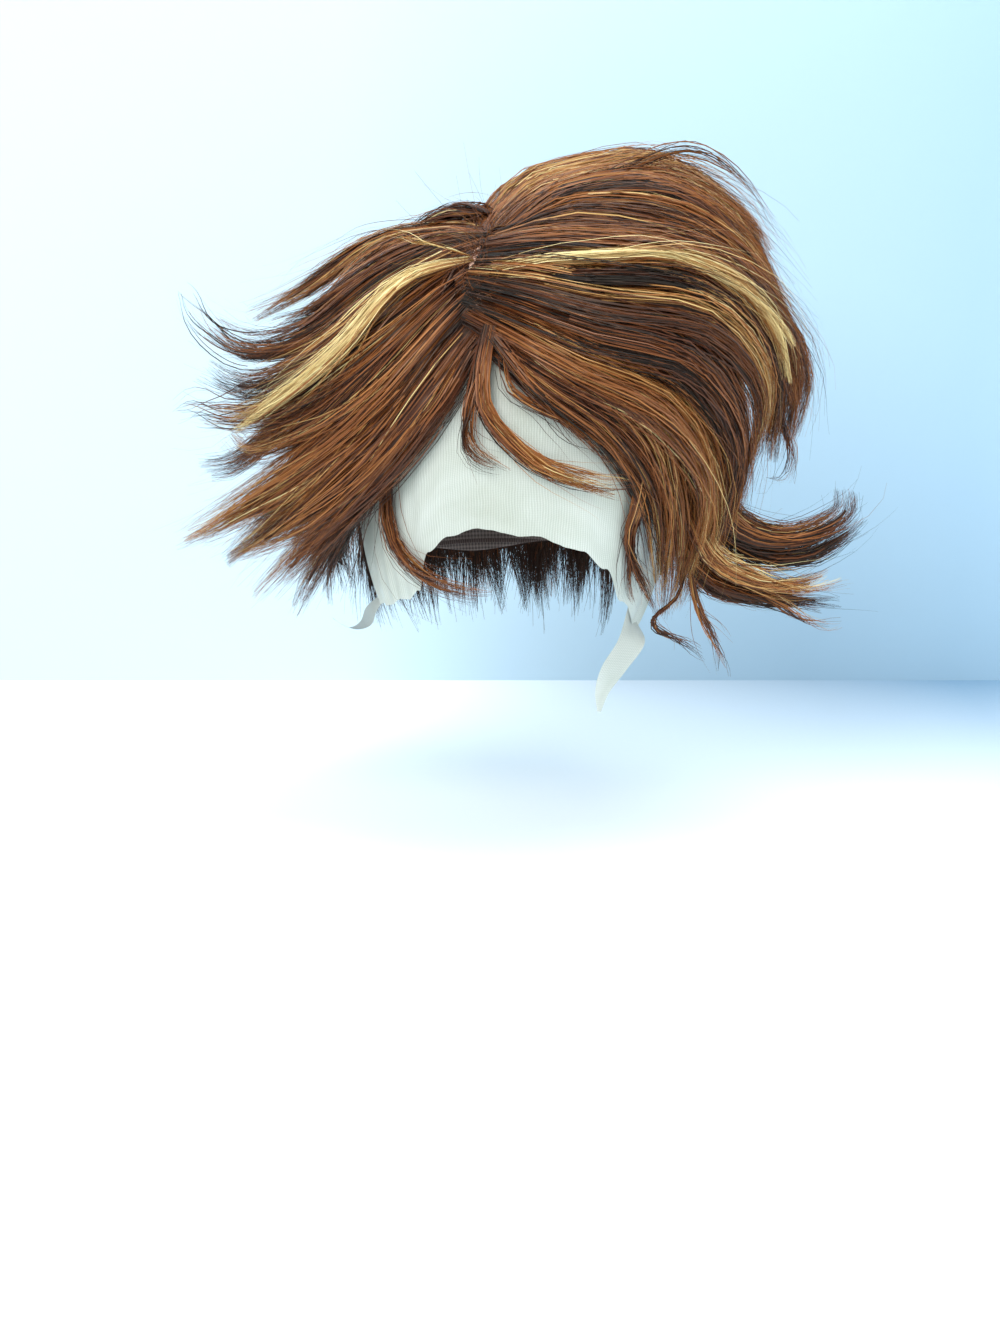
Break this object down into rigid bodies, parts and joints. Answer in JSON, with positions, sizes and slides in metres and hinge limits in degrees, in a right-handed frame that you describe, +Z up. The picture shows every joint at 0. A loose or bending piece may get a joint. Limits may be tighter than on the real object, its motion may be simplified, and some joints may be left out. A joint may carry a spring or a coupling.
{
  "type": "lace front wig",
  "caption": "Short layered lace front wig with a side part, flicked ends, blond highlight locks and an uncut sheer lace front, held in its worn shape.",
  "frame": {"origin": "middle of the head opening, level with the widest part of the head, on the upright axis through the crown of the cap", "axes": "+Z up through the crown, the face looks to -Y, +X to the wearer's left"},
  "size_m": [0.3215, 0.2218, 0.2531],
  "materials": {
    "cap_net": "matte stretch net",
    "sheer_lace": "sheer fine lace, matte",
    "knotted_base": "matte knotted base",
    "copper_hair": "soft gloss hair, copper brown with darker roots and golden ends",
    "dark_hair": "soft gloss hair, near black brown",
    "blond_hair": "soft gloss hair, pale blond"
  },
  "bodies": {
    "root": {"wig_cap": "cap_net", "lace_front": "sheer_lace", "lace_tab_left": "sheer_lace", "lace_tab_right": "sheer_lace", "part_strip": "knotted_base", "hair_crown": "copper_hair", "hair_left": "copper_hair", "hair_right": "copper_hair", "hair_back": "copper_hair", "hair_nape": "dark_hair", "forelock": "copper_hair", "face_lock_left": "dark_hair", "face_lock_right": "copper_hair", "highlight_left": "blond_hair", "highlight_right": "blond_hair"}
  },
  "joints": []
}
